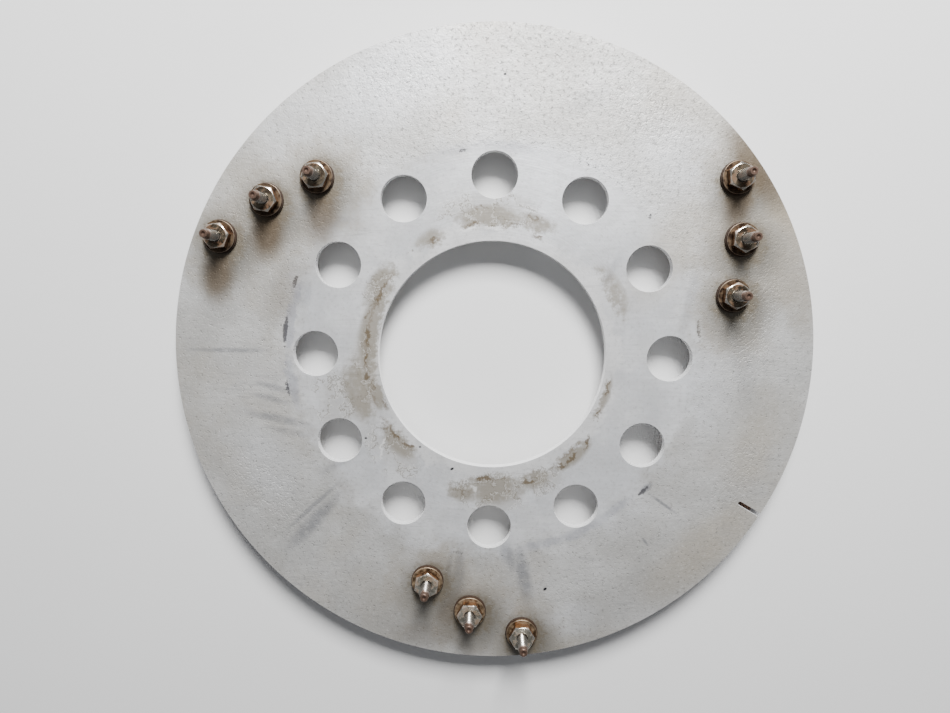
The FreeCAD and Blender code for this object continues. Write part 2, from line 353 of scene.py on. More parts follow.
# %% Slopes
slopes, given, result = new_group("Slopes", {}, {"Top": "Float", "Chamfer": "Float", "Side": "Float"})
facing = node(slopes, "SeparateXYZ", {0: node(slopes, "NewGeometry").outputs["Normal"]}).outputs[2]
upwards = maths(slopes, "ABSOLUTE", facing)
on_top = fade(slopes, upwards, 0.93, 0.98)
on_side = fade(slopes, upwards, 0.25, 0.6, 1.0, 0.0)
neither = maths(slopes, "SUBTRACT", maths(slopes, "SUBTRACT", 1.0, on_top), on_side)
for label, value in (("Top", on_top), ("Side", on_side), ("Chamfer", neither)):
    put(slopes, result[label], value)
print("group", slopes.name)


# %% A new finish
def new_finish(name, **constants):
    """An empty finish: returns the material, its tree, its shader's sockets and the place in millimetres."""
    finish = bpy.data.materials.new(name)
    finish.use_nodes = True
    tree = finish.node_tree
    shader = tree.nodes["Principled BSDF"].inputs
    for socket, value in constants.items():
        shader[socket.replace("_", " ")].default_value = value
    here = node(tree, "TexCoord").outputs["Object"]
    return finish, tree, shader, vectors(tree, "MULTIPLY", here, (1 / MM, 1 / MM, 1 / MM))


def bumped(tree, shader, height, strength, depth_mm):
    """Raises the surface by a height from 0 to 1."""
    values = {"Height": height, "Strength": strength, "Distance": depth_mm * MM}
    put(tree, shader["Normal"], node(tree, "Bump", values).outputs[0])


# %% [markdown]
# ## Bare aluminium
# The front of the plate has had a hard life. Outside the hub zone it is dull and slightly yellow, with a
# skin of fine bumps and strings of pits. Inside, where the hub was clamped against it, it is smoother and
# bluish. The metal is painted as a coach painter works, from broad tones to small marks, each stain laid
# over the last. Noise alone would make a surface that is dirty all over, and a real one is dirty in places.
# So each mark is one soft patch, set down from a short list.

# %% The plate's zones
plate_finish, tree, shader, place = new_finish("bare_aluminium")
around = use_group(tree, polar, Place=place)
coarse = noise(tree, place, 0.034, 5.0, 0.6, flat=True)
middling = noise(tree, place, 0.1, 6.0, 0.65, flat=True)
fine = noise(tree, place, 0.38, 6.0, 0.72, flat=True)
grains = noise(tree, place, 0.8, 4.0, 0.7, flat=True)
wander = maths(tree, "MULTIPLY", maths(tree, "SUBTRACT", middling, 0.5), 20.0)
loose_radius = maths(tree, "ADD", around["Radius"], wander)
hub_zone = fade(tree, loose_radius, 63.0, 77.0, 1.0, 0.0)
bore_band = fade(tree, loose_radius, 41.5, 45.0, 1.0, 0.0)
light_clouds = fade(tree, coarse, 0.38, 0.62)
warm_clouds = fade(tree, noise(tree, place, 0.021, 4.0, flat=True), 0.45, 0.62)
outer_colour = blend(tree, light_clouds, (0.575, 0.565, 0.54, 1), (0.70, 0.695, 0.68, 1))
outer_colour = blend(tree, maths(tree, "MULTIPLY", warm_clouds, 0.45), outer_colour, (0.53, 0.485, 0.41, 1))
hub_colour = blend(tree, light_clouds, (0.64, 0.65, 0.67, 1), (0.75, 0.755, 0.765, 1))
colour = blend(tree, hub_zone, outer_colour, hub_colour)
colour = blend(tree, maths(tree, "MULTIPLY", bore_band, 0.7), colour, (0.79, 0.785, 0.78, 1))
print("finish", plate_finish.name, "with its zones")


# %% A stain or painted shadow over the last one
def stain_and_shade(mask, strength, mark_colour):
    """The plate's colour with one more mark on it: a stain, a tone or a painted shadow."""
    return blend(tree, maths(tree, "MULTIPLY", mask, strength), colour, (*mark_colour, 1))


# %% Lists of marks
WHOLE_HEIGHT = 1000


def strongest(frame_of_marks, marks):
    """One mask for a list of marks, each with its middle, turn, half length, half width and strength."""
    total = 0.0
    for x, y, turn, length, width, strength in marks:
        patch = use_group(tree, soft_patch, Place=frame_of_marks, Centre=(x, y, 0),
                          Turn=(0, 0, math.radians(turn)), Half_sizes=(length, width, WHOLE_HEIGHT),
                          Strength=strength)
        total = maths(tree, "MAXIMUM", total, patch["Mask"])
    return total


def broken(mask, field, start, end):
    """Lets a mask through where a noise is high, and sooner where the mask is strong."""
    ragged = maths(tree, "ADD", field, maths(tree, "MULTIPLY", mask, 0.5))
    return maths(tree, "MULTIPLY", fade(tree, ragged, start, end), fade(tree, mask, 0.0, 0.3))


# %% Broad tones
# Lighter, duller and yellower parts of the plate, in millimetres and degrees.
LIGHTER = [
    (-36.0, 88.0, 22, 50, 20, 1.1), (20.0, 54.0, -10, 42, 24, 1.35), (62.0, 66.0, -40, 26, 16, 0.9),
    (71.0, -11.0, 80, 28, 17, 0.9), (-78.0, -40.0, -50, 24, 14, 0.6), (-78.0, -8.0, 0, 14, 12, 0.5),
    (46.0, -55.0, 40, 18, 12, 0.6), (30.0, -94.0, 10, 14, 9, 0.9), (-64.0, 76.0, 45, 26, 14, 0.8),
]
DULLER = [
    (24.0, 100.0, -12, 34, 9, 0.9), (54.0, -83.0, 38, 34, 14, 0.8), (88.0, -48.0, 60, 20, 10, 0.6),
    (-67.0, -68.0, 45, 16, 10, 0.6), (-16.0, -94.0, 5, 40, 14, 1.6), (-92.0, 24.0, 80, 20, 14, 1.0),
    (-52.0, 38.0, 50, 26, 9, 0.9), (76.0, 34.0, 85, 30, 12, 0.9), (-40.0, -16.0, 70, 20, 8, 0.8),
]
YELLOWER = [
    (93.0, 57.0, -58, 27, 12, 2.6), (90.0, -31.0, 75, 24, 12, 0.9), (76.0, -66.0, 42, 36, 13, 1.1),
    (58.0, 36.0, 60, 30, 12, 0.8), (86.0, 40.0, -85, 32, 16, 1.0), (-43.0, -4.0, 85, 22, 6, 0.8),
]
colour = stain_and_shade(strongest(place, LIGHTER), 0.62, (0.83, 0.845, 0.875))
colour = stain_and_shade(strongest(place, DULLER), 0.42, (0.38, 0.37, 0.35))
colour = stain_and_shade(strongest(place, YELLOWER), 0.42, (0.50, 0.42, 0.29))
print(len(LIGHTER + DULLER + YELLOWER), "broad tones")

# %% Grain of the rolled sheet, and fine scratches
rolled = node(tree, "Mapping", {"Vector": place, "Scale": (0.07, 1.1, 1.0)}).outputs[0]
grain = noise(tree, rolled, 1.0, 3.0, 0.65, flat=True)
colour = stain_and_shade(fade(tree, middling, 0.35, 0.65), 0.2, (0.38, 0.375, 0.365))
colour = stain_and_shade(fade(tree, fine, 0.3, 0.7), 0.13, (0.36, 0.35, 0.34))
colour = stain_and_shade(fade(tree, grain, 0.3, 0.7), 0.1, (0.34, 0.335, 0.33))
stippled = fade(tree, hub_zone, 0.0, 1.0, 1.0, 0.4)
colour = stain_and_shade(maths(tree, "MULTIPLY", stippled, fade(tree, grains, 0.57, 0.70)), 0.55, (0.24, 0.235, 0.22))
colour = stain_and_shade(maths(tree, "MULTIPLY", stippled, fade(tree, grains, 0.42, 0.30)), 0.3, (0.86, 0.86, 0.85))
scratched = fade(tree, coarse, 0.46, 0.6)
SCRATCH_DIRECTIONS = (25, -40)
for turn in SCRATCH_DIRECTIONS:
    stretched = node(tree, "Mapping", {"Vector": place, "Rotation": (0, 0, math.radians(turn)),
                                       "Scale": (0.012, 0.22, 1.0)}).outputs[0]
    scratch = line_where(tree, noise(tree, stretched, 1.0, 2.0, flat=True), 0.010)
    colour = stain_and_shade(maths(tree, "MULTIPLY", scratch, scratched), 0.3, (0.27, 0.27, 0.275))
print(len(SCRATCH_DIRECTIONS), "sets of scratches")


# %% [markdown]
# ## Grease round the bore
# A clean band runs round the bore, and outside it grease has dried to a thin film with dark streaks in it,
# and water has left rings. All of them follow the bore, so they are easiest to set down in an unrolled
# frame: the middle of a mark is an angle, counted from the left, and a radius. Two noises bend that frame a
# little, so that a streak wanders as grease does, and a third one breaks it up.

# %% Films, streaks and water marks
GREASE_FILM = [
    (-12, 42.5, 0, 34, 5.0, 1.1), (15, 47.5, 0, 19, 7.0, 1.0), (44, 44.5, 0, 15, 5.0, 1.0),
    (-33, 45.5, 0, 15, 5.0, 0.9), (78, 49.0, 0, 8, 5.0, 1.0), (92, 47.0, 0, 16, 7.5, 1.1),
    (110, 46.0, 0, 11, 4.5, 0.9), (130, 45.0, 0, 15, 3.6, 1.1), (-89, 47.0, 0, 19, 5.5, 1.0),
    (-108, 47.0, 0, 10, 4.5, 0.8), (-62, 44.5, 0, 11, 4.5, 0.8), (161, 41.2, 0, 16, 2.2, 0.9),
    (-151, 47.0, 0, 18, 4.5, 0.7), (20, 42.0, 0, 12, 3.2, 1.0), (-8, 40.8, 0, 28, 2.0, 0.8),
]
GREASE_STREAKS = [
    (-28, 43.3, 0, 8, 1.1, 1.1), (-19, 44.8, 8, 6, 0.9, 0.8), (-8, 42.8, -6, 8, 1.0, 1.2),
    (3, 43.2, 8, 6, 1.0, 1.0), (10.5, 43.4, 0, 3, 1.6, 1.3), (15, 42.2, 0, 4, 1.0, 1.0),
    (27, 40.5, 0, 5, 1.3, 1.0), (34, 44.5, 12, 5, 0.7, 0.9), (40, 43.4, -8, 6, 1.0, 1.0),
    (48, 42.4, -16, 4, 1.2, 1.2), (88, 43.0, -8, 6, 1.3, 1.4), (107, 46.0, 10, 4, 1.3, 1.3),
    (123, 45.2, 14, 5, 1.1, 1.4), (130, 45.2, -8, 6, 1.2, 1.5), (139, 44.6, -35, 4, 1.0, 1.4),
    (152, 41.8, -14, 5, 0.8, 1.1), (165, 41.1, 0, 10, 0.7, 1.1), (-111, 42.6, 4, 5, 1.0, 1.1),
    (-99, 45.0, -8, 4, 0.9, 0.9), (-89, 43.5, 0, 2.2, 1.0, 1.4), (-81, 44.9, 0, 5, 0.8, 1.1),
    (-62, 43.8, 0, 5, 1.6, 1.1), (-106, 48.4, 0, 6, 1.1, 0.8), (-84, 49.9, 14, 6, 0.8, 0.8),
    (78, 48.8, 0, 5, 3.0, 0.6), (-51, 44.4, 20, 3, 0.8, 0.7),
]
PALE_STREAKS = [
    (-89, 42.9, 3, 8, 0.7, 1.2), (-79, 43.4, -2, 6, 0.8, 1.1), (40, 50.0, 62, 6, 1.0, 1.0),
    (82, 47.2, 0, 2, 1.2, 0.9),
]
WATER_MARKS = [
    (18, 55.0, 0, 17, 13.0, 1.1), (45, 49.0, 0, 20, 9.0, 1.0), (92, 48.0, 0, 24, 10.0, 1.1),
    (-88, 49.0, 0, 28, 9.0, 1.2), (112, 47.0, 0, 14, 7.0, 1.1), (-30, 45.0, 0, 16, 6.0, 1.1),
    (5, 44.0, 0, 24, 5.0, 0.9),
]
print(len(GREASE_FILM + GREASE_STREAKS), "grease patches and", len(WATER_MARKS), "water marks")

# %% Lay the grease on the plate
BEND_ANGLE, BEND_RADIUS = 12.0, 4.5
bend = node(tree, "CombineXYZ", {0: maths(tree, "MULTIPLY", middling, BEND_ANGLE),
                                 1: maths(tree, "MULTIPLY", fine, BEND_RADIUS)}).outputs[0]
centred_bend = vectors(tree, "SUBTRACT", bend, (BEND_ANGLE / 2, BEND_RADIUS / 2, 0.0))
bent = vectors(tree, "ADD", around["Unrolled"], centred_bend)
film_zone = strongest(bent, GREASE_FILM)
water_zone = strongest(around["Unrolled"], WATER_MARKS)
band_edge = maths(tree, "ADD", around["Radius"], maths(tree, "MULTIPLY", fine, 4.0))
band_line = line_where(tree, band_edge, 0.6, middle=45.2)
tide_line = line_where(tree, middling, 0.02)
salt_line = line_where(tree, middling, 0.016, middle=0.53)
wet = fade(tree, water_zone, 0.1, 0.6)
greasy = fade(tree, film_zone, 0.3, 0.8)
colour = stain_and_shade(broken(water_zone, middling, 0.66, 0.98), 0.45, (0.44, 0.425, 0.40))
colour = stain_and_shade(broken(film_zone, fine, 0.45, 1.0), 0.8, (0.265, 0.235, 0.185))
colour = stain_and_shade(maths(tree, "MULTIPLY", tide_line, wet), 0.8, (0.22, 0.195, 0.155))
colour = stain_and_shade(maths(tree, "MULTIPLY", salt_line, wet), 0.5, (0.84, 0.83, 0.80))
colour = stain_and_shade(maths(tree, "MULTIPLY", band_line, greasy), 0.5, (0.17, 0.125, 0.08))
colour = stain_and_shade(broken(strongest(bent, GREASE_STREAKS), grains, 0.6, 1.15), 0.8, (0.125, 0.088, 0.045))
colour = stain_and_shade(strongest(bent, PALE_STREAKS), 0.7, (0.88, 0.875, 0.86))
print("grease laid, bent by up to", BEND_ANGLE / 2, "degrees")

# %% [markdown]
# ## Marks of use
# Tools have rubbed grey smears into the outer zone, and the edge of the hub's flange has printed a
# broken dark circle. Each terminal has let damp run down, which has stained the metal below it, and
# painted shadow darkens the plate below each stack. These marks are laid last, because they are the newest.

# %% Rubbed smears and specks
SMEARS = [
    (-90.0, 0.7, 0, 20.0, 1.2, 0.9), (-75.5, -11.8, -14, 9.0, 1.7, 0.8),
    (-75.6, -16.0, -13, 10.0, 1.6, 0.75), (-74.0, -22.9, -11, 16.0, 2.2, 0.9),
    (-70.0, -27.5, -12, 10.0, 2.0, 0.5), (-61.7, -59.5, 48, 18.0, 3.6, 1.0),
    (-62.0, -54.0, 43, 17.0, 1.3, 0.9), (-14.5, -79.0, 82, 14.0, 1.7, 1.3),
    (-10.4, -77.0, 88, 12.0, 3.0, 1.1), (12.6, -79.0, -79, 16.0, 3.6, 1.1),
    (7.0, -71.0, -70, 8.0, 3.6, 0.9), (54.3, -45.3, 40, 3.6, 1.8, 1.2),
    (60.7, -51.1, -35, 7.5, 0.8, 1.2), (54.7, -64.6, -50, 2.6, 0.7, 1.1),
    (-64.0, 20.0, 70, 6.0, 4.0, 0.6), (-52.0, -38.0, 30, 12.0, 2.0, 0.5),
    (30.0, 84.0, 20, 14.0, 5.0, 0.3), (84.0, 4.0, -80, 24.0, 6.0, 0.4),
    (-50.0, 58.0, 40, 7.0, 1.6, 0.5), (40.0, 30.0, 60, 9.0, 2.4, 0.4), (66.0, 18.0, 80, 16.0, 2.8, 0.5),
]
SPOTS = [
    (20.2, -82.8, 40, 1.0, 0.65, 1.5), (-43.2, -29.3, 0, 0.65, 0.5, 1.1),
    (-13.2, -39.7, 30, 1.0, 0.6, 1.2), (2.8, 92.2, 0, 0.7, 0.55, 1.1), (-24.4, -32.1, 0, 0.6, 0.5, 1.0),
]
smeared = maths(tree, "MULTIPLY", strongest(place, SMEARS), fade(tree, fine, 0.25, 0.6, 0.4, 1.0))
colour = stain_and_shade(smeared, 0.62, (0.20, 0.205, 0.225))
colour = stain_and_shade(strongest(place, SPOTS), 1.0, (0.015, 0.015, 0.02))
print(len(SMEARS), "smears and", len(SPOTS), "spots")

# %% The edge of the hub's seat
# A broken black line on the left, and faint arcs elsewhere, at angles counted from the left.
SEAT_EDGE = [
    (-20, 71.2, 0, 4, 1.4, 1.1), (-6.5, 71.0, 0, 7, 1.5, 1.3), (9.5, 71.2, 0, 4.5, 1.2, 1.1),
    (24, 71.4, 0, 6, 0.8, 0.7), (81, 71.0, 0, 3, 1.6, 0.9), (139, 70.8, 0, 3.5, 1.6, 1.2),
    (-172, 70.4, 0, 7, 1.4, 0.9), (-137, 70.0, 0, 3, 1.6, 0.8), (-81, 68.8, 0, 2, 1.2, 1.1),
    (-116, 71.0, 0, 24, 0.8, 0.75), (100, 71.0, 0, 18, 0.8, 0.7),
]
SEAT_HAZE = [
    (-8, 69.6, 0, 9, 2.4, 1.6), (8, 69.4, 0, 12, 2.6, 1.0), (-18, 69.4, 0, 6, 2.6, 1.1),
    (118, 69.0, 0, 30, 3.0, 0.7), (-90, 69.5, 0, 30, 3.0, 0.6), (-42, 68.0, 80, 4, 3.0, 1.0),
]
colour = stain_and_shade(broken(strongest(bent, SEAT_HAZE), middling, 0.5, 1.05), 0.55, (0.37, 0.38, 0.43))
seat_edge = strongest(around["Unrolled"], SEAT_EDGE)
colour = stain_and_shade(broken(seat_edge, grains, 0.86, 1.04), 0.85, (0.07, 0.068, 0.075))
print(len(SEAT_EDGE), "stretches of the seat's edge")

# %% Stains that have run from the terminals, and painted shadow below them
# The wide stain is pale and the close one dark, and grey grime mixed with painted shadow lies below each
# stack. The station on the right has run as far as the rim. Painted shadow lies darkest under the station
# on the left, and soot marks lie at the other two.
def at_terminals(right, up, reach, strength):
    """One round mark at every terminal, a little to the right of its axis and above or below it."""
    return [(at.x + right, at.y + up, 0, reach, reach, strength) for at in TERMINALS.values()]


RUN_ON = [(92.0, 42.0, -65, 44, 17, 1.1), (-2.0, -88.0, -25, 36, 14, 0.5)]
# Under the station on the left these marks are painted shadow, a little below each terminal.
SOOT_AND_SHADOW = [
    (-57.5, 45.5, 80, 13, 8, 1.0), (-75.8, 40.0, 80, 13, 8, 1.2), (-93.0, 25.5, 80, 13, 8, 1.1),
    (-70.0, 22.0, 72, 16, 8, 0.4), (80.5, 52.0, 80, 13, 7, 1.0), (86.0, 64.5, -54, 24, 9, 1.05),
    (-13.5, -92.0, 60, 13, 6, 0.6), (-22.0, -101.0, 5, 18, 8, 0.45),
]
wide_stain = strongest(place, at_terminals(1.0, -3.0, 24, 0.9) + RUN_ON)
grime_and_shadow = strongest(place, at_terminals(2.0, -4.5, 17, 1.2))
close_stain = strongest(place, at_terminals(1.0, -1.5, 14, 1.4))
colour = stain_and_shade(broken(wide_stain, middling, 0.5, 1.0), 0.55, (0.42, 0.375, 0.305))
# Painted shadow, with grey grime, below each stack.
colour = stain_and_shade(grime_and_shadow, 0.7, (0.20, 0.19, 0.17))
colour = stain_and_shade(broken(close_stain, fine, 0.75, 1.2), 0.65, (0.17, 0.135, 0.085))
# Painted shadow under the station on the left, and soot at the other two.
colour = stain_and_shade(strongest(place, SOOT_AND_SHADOW), 0.74, (0.12, 0.086, 0.052))
print("stains round", len(TERMINALS), "terminals")

# %% Bright cut edges
# Where the drill and the file have cut it, the metal is clean.
slope = use_group(tree, slopes)
cut = maths(tree, "ADD", slope["Chamfer"], slope["Side"])
put(tree, shader["Base Color"], stain_and_shade(cut, 1.0, (0.93, 0.93, 0.93)))
dull = maths(tree, "ADD", fade(tree, hub_zone, 0.0, 1.0, 0.44, 0.40), maths(tree, "MULTIPLY", fine, 0.16))
put(tree, shader["Roughness"], fade(tree, cut, 0.0, 1.0, dull, 0.3))
bare = fade(tree, hub_zone, 0.0, 1.0, 0.52, 0.36)
put(tree, shader["Metallic"], fade(tree, cut, 0.0, 1.0, bare, 0.1))
print("cut edges are clean")

# %% Bumps, strings of pits and lathe lines
PITTED = [
    (-78.0, -48.0, -50, 30, 16, 1.2), (50.0, 80.0, -30, 24, 12, 0.9), (-30.0, 92.0, 15, 26, 10, 0.7),
    (88.0, 12.0, 80, 34, 13, 1.0), (86.0, -40.0, 60, 26, 12, 1.0), (-20.0, -66.0, 0, 16, 9, 0.6),
    (-84.0, 44.0, 55, 22, 12, 0.7), (30.0, -82.0, 20, 24, 12, 0.7),
]
peel = maths(tree, "MULTIPLY", noise(tree, place, 1.7, 3.0, flat=True), 0.06)
waves = maths(tree, "MULTIPLY", noise(tree, place, 0.45, 2.0, flat=True), 0.065)
string = line_where(tree, noise(tree, place, 0.32, 3.0, flat=True), 0.06)
pits = maths(tree, "MULTIPLY", string, maths(tree, "MULTIPLY", strongest(place, PITTED), 0.045))
pinholes = fade(tree, grains, 0.58, 0.70, 0.0, 0.05)
outer_relief = maths(tree, "SUBTRACT", maths(tree, "ADD", peel, waves), maths(tree, "ADD", pits, pinholes))
lines = use_group(tree, lathe_lines, Place=place, Spacing=0.5)["Height"]
hub_relief = maths(tree, "ADD", maths(tree, "MULTIPLY", lines, 0.03), maths(tree, "MULTIPLY", waves, 0.6))
clamped = fade(tree, around["Radius"], 66.0, 73.0, 1.0, 0.0)
bumped(tree, shader, fade(tree, clamped, 0.0, 1.0, outer_relief, hub_relief), 1.0, 1.0)
print("relief of the plate's front")

# %% [markdown]
# ## The other finishes
# The studs are bright turned steel with brown, worn ends. The nuts have gone brown on top and amber on
# their sides, and only their chamfers still shine. Washers and bushings are brown, the washers with a thin
# bright rim. Underneath, the copper is polished where the brushes run, in dark moulded insulation. Each
# finish could be one plain colour, but metal that has been handled is never one colour, so each blends two
# or three by noise and by the slope of the surface.

# %% Stud steel
stud_finish, tree, shader, place = new_finish("stud_steel")
height = node(tree, "SeparateXYZ", {0: place}).outputs[2]
ragged = maths(tree, "ADD", height, maths(tree, "MULTIPLY", noise(tree, place, 0.7, 4.0), 1.6))
worn_end = fade(tree, ragged, 21.2, 22.3)
foot_stain = fade(tree, ragged, 15.4, 16.4, 1.0, 0.0)
specks = use_group(tree, dirt, Place=place, Per_mm=0.9, Cover=0.45)["Mask"]
colour = blend(tree, maths(tree, "MULTIPLY", specks, 0.22), (0.60, 0.575, 0.53, 1), (0.18, 0.145, 0.105, 1))
colour = blend(tree, maths(tree, "MULTIPLY", foot_stain, 0.6), colour, (0.22, 0.18, 0.13, 1))
rust = blend(tree, noise(tree, place, 1.4, 4.0), (0.055, 0.026, 0.018, 1), (0.175, 0.10, 0.066, 1))
put(tree, shader["Base Color"], blend(tree, maths(tree, "MULTIPLY", worn_end, 0.95), colour, rust))
put(tree, shader["Roughness"], fade(tree, worn_end, 0.0, 1.0, 0.24, 0.42))
put(tree, shader["Metallic"], fade(tree, worn_end, 0.0, 1.0, 1.0, 0.6))
bumped(tree, shader, noise(tree, place, 2.0, 3.0), 0.15, 0.06)
print("finish", stud_finish.name)

# %% The station painted lighter
# The nuts and washers at the bottom station are painted lighter, because they are seen from their lit side.
PAINTED_LIGHT_REACH = 90
bottom_station = sum((TERMINALS[ring, 3] for ring in RINGS), Vector()) / len(RINGS)


def painted_lighter(tree, place):
    """A mask that is 1 at the bottom station and 0 at the other two."""
    return use_group(tree, soft_patch, Place=place, Centre=bottom_station, Strength=1.0,
                     Half_sizes=(PAINTED_LIGHT_REACH, PAINTED_LIGHT_REACH, WHOLE_HEIGHT))["Mask"]


print("cleaned station at", [round(part) for part in bottom_station.xy])

# %% Nut metal
nut_finish, tree, shader, place = new_finish("nut_metal")
slope = use_group(tree, slopes)
clouds = noise(tree, place, 0.45, 4.0)
patchy = fade(tree, clouds, 0.35, 0.65)
brown_top = blend(tree, patchy, (0.075, 0.055, 0.038, 1), (0.22, 0.185, 0.135, 1))
painted_light_top = blend(tree, patchy, (0.36, 0.33, 0.26, 1), (0.62, 0.60, 0.52, 1))
# Painted light: at the bottom station the nut tops are painted lighter, as seen from their lit side.
top_colour = blend(tree, painted_lighter(tree, place), brown_top, painted_light_top)
side_colour = blend(tree, patchy, (0.055, 0.028, 0.017, 1), (0.26, 0.14, 0.065, 1))
colour = blend(tree, slope["Side"], top_colour, side_colour)
colour = blend(tree, maths(tree, "MULTIPLY", slope["Chamfer"], 0.8), colour, (0.86, 0.81, 0.72, 1))
rusty = use_group(tree, dirt, Place=place, Per_mm=0.5, Cover=0.62)["Mask"]
colour = blend(tree, maths(tree, "MULTIPLY", rusty, 0.7), colour, (0.14, 0.068, 0.031, 1))
put(tree, shader["Base Color"], colour)
put(tree, shader["Roughness"], maths(tree, "ADD", fade(tree, slope["Chamfer"], 0.0, 1.0, 0.36, 0.16),
                                     maths(tree, "MULTIPLY", rusty, 0.25)))
put(tree, shader["Metallic"], fade(tree, rusty, 0.0, 1.0, 0.95, 0.4))
bumped(tree, shader, noise(tree, place, 1.8, 5.0), 0.4, 0.08)
print("finish", nut_finish.name)

# %% Washer metal
washer_finish, tree, shader, place = new_finish("washer_metal")
slope = use_group(tree, slopes)
clouds = noise(tree, place, 0.5, 4.0)
patchy = fade(tree, clouds, 0.35, 0.65)
brown_metal = blend(tree, patchy, (0.045, 0.026, 0.017, 1), (0.14, 0.094, 0.055, 1))
painted_light_washer = blend(tree, patchy, (0.13, 0.08, 0.042, 1), (0.33, 0.24, 0.15, 1))
# Painted light: the washers at the bottom station are painted lighter, as seen from their lit side.
colour = blend(tree, painted_lighter(tree, place), brown_metal, painted_light_washer)
colour = blend(tree, maths(tree, "MULTIPLY", slope["Chamfer"], 0.4), colour, (0.50, 0.41, 0.33, 1))
put(tree, shader["Base Color"], colour)
put(tree, shader["Roughness"], fade(tree, clouds, 0.3, 0.7, 0.36, 0.58))
put(tree, shader["Metallic"], fade(tree, clouds, 0.3, 0.7, 0.9, 0.6))
bumped(tree, shader, noise(tree, place, 1.6, 4.0), 0.35, 0.08)
print("finish", washer_finish.name)

# %% Bushing fibre
bushing_finish, tree, shader, place = new_finish("bushing_fibre", Specular_IOR_Level=0.4)
layers = node(tree, "Mapping", {"Vector": place, "Scale": (0.4, 0.4, 7.0)}).outputs[0]
colour = blend(tree, noise(tree, layers, 1.0, 4.0), (0.018, 0.010, 0.007, 1), (0.065, 0.034, 0.02, 1))
put(tree, shader["Base Color"], colour)
put(tree, shader["Roughness"], fade(tree, noise(tree, place, 0.8), 0.3, 0.7, 0.45, 0.65))
bumped(tree, shader, noise(tree, layers, 1.0, 5.0), 0.4, 0.08)
print("finish", bushing_finish.name)

# %% Moulded insulation
moulding_finish, tree, shader, place = new_finish("moulded_insulation", Specular_IOR_Level=0.45)
mottle = noise(tree, place, 0.5, 6.0, 0.7)
colour = blend(tree, fade(tree, mottle, 0.3, 0.7), (0.07, 0.034, 0.02, 1), (0.155, 0.08, 0.045, 1))
dust = use_group(tree, dirt, Place=place, Per_mm=0.08, Cover=0.6)["Mask"]
colour = blend(tree, maths(tree, "MULTIPLY", dust, 0.45), colour, (0.05, 0.05, 0.052, 1))
put(tree, shader["Base Color"], colour)
put(tree, shader["Roughness"], fade(tree, dust, 0.0, 1.0, 0.42, 0.7))
bumped(tree, shader, noise(tree, place, 1.5, 5.0), 0.3, 0.1)
print("finish", moulding_finish.name)

# %% Copper that the brushes have polished
# Brushes rub it bright, and a film comes and goes along the ring, never across it.
copper_finish, tree, shader, place = new_finish("ring_copper", Metallic=1.0)
lines = use_group(tree, lathe_lines, Place=place, Spacing=0.22)["Height"]
around = use_group(tree, polar, Place=place)
across = node(tree, "CombineXYZ", {2: maths(tree, "MULTIPLY", around["Radius"], 0.5)}).outputs[0]
along_ring = vectors(tree, "ADD", vectors(tree, "MULTIPLY", place, (0.04, 0.04, 0.0)), across)
film = use_group(tree, dirt, Place=along_ring, Per_mm=1.0, Cover=0.5)["Mask"]
colour = blend(tree, fade(tree, lines, 0.3, 0.7), (0.55, 0.27, 0.165, 1), (0.80, 0.47, 0.33, 1))
colour = blend(tree, maths(tree, "MULTIPLY", film, 0.55), colour, (0.20, 0.115, 0.085, 1))
put(tree, shader["Base Color"], colour)
put(tree, shader["Roughness"], fade(tree, film, 0.0, 1.0, 0.24, 0.48))
bumped(tree, shader, lines, 0.35, 0.04)
print("finish", copper_finish.name)

# %% [markdown]
# ## The plate
# On the real part the plate is cut from rolled sheet, drilled, slotted and deburred. It could be drawn as a
# flat outline with holes and thickened, but then its edges would still have to be cut. Here a cylinder gives
# the disc, and one tool made of all the drills takes out the bore, the bolt holes and the holes for the
# terminals in a single cut. The index slot is sawn next. Rounding the edges comes last, because it gives the
# thin bright lines that a deburred edge shows.

# %% Cutters
THROUGH = 10


def drill(out, height, at=(0.0, 0.0), steps=64):
    """A round cutter through the whole plate."""
    pick()
    middle = (PLATE_BACK + PLATE_FRONT) / 2
    bpy.ops.mesh.primitive_cylinder_add(vertices=steps, radius=out * MM, depth=height * MM,
                                        location=(at[0] * MM, at[1] * MM, middle * MM))
    bpy.ops.object.transform_apply(location=True, rotation=True, scale=True)
    return bpy.context.object


def on_circle(out, degrees):
    """A place at a distance from the bore's axis, at an angle from +X."""
    return (out * math.cos(math.radians(degrees)), out * math.sin(math.radians(degrees)))


# %% Drill the plate
TERMINAL_HOLE_RADIUS = 3.3
plate = drill(PLATE_RADIUS, PLATE_FRONT - PLATE_BACK, steps=256)
plate.name = "plate"
drills = [drill(BORE_RADIUS, THROUGH, steps=160)]
drills += [drill(BOLT_HOLE_RADIUS, THROUGH, on_circle(BOLT_CIRCLE_RADIUS, 360 / BOLT_COUNT * k), 72)
           for k in range(BOLT_COUNT)]
drills += [drill(TERMINAL_HOLE_RADIUS, THROUGH, at, 32) for at in TERMINALS.values()]
print(len(drills), "drills")
carve(plate, joined(drills, "drills"))

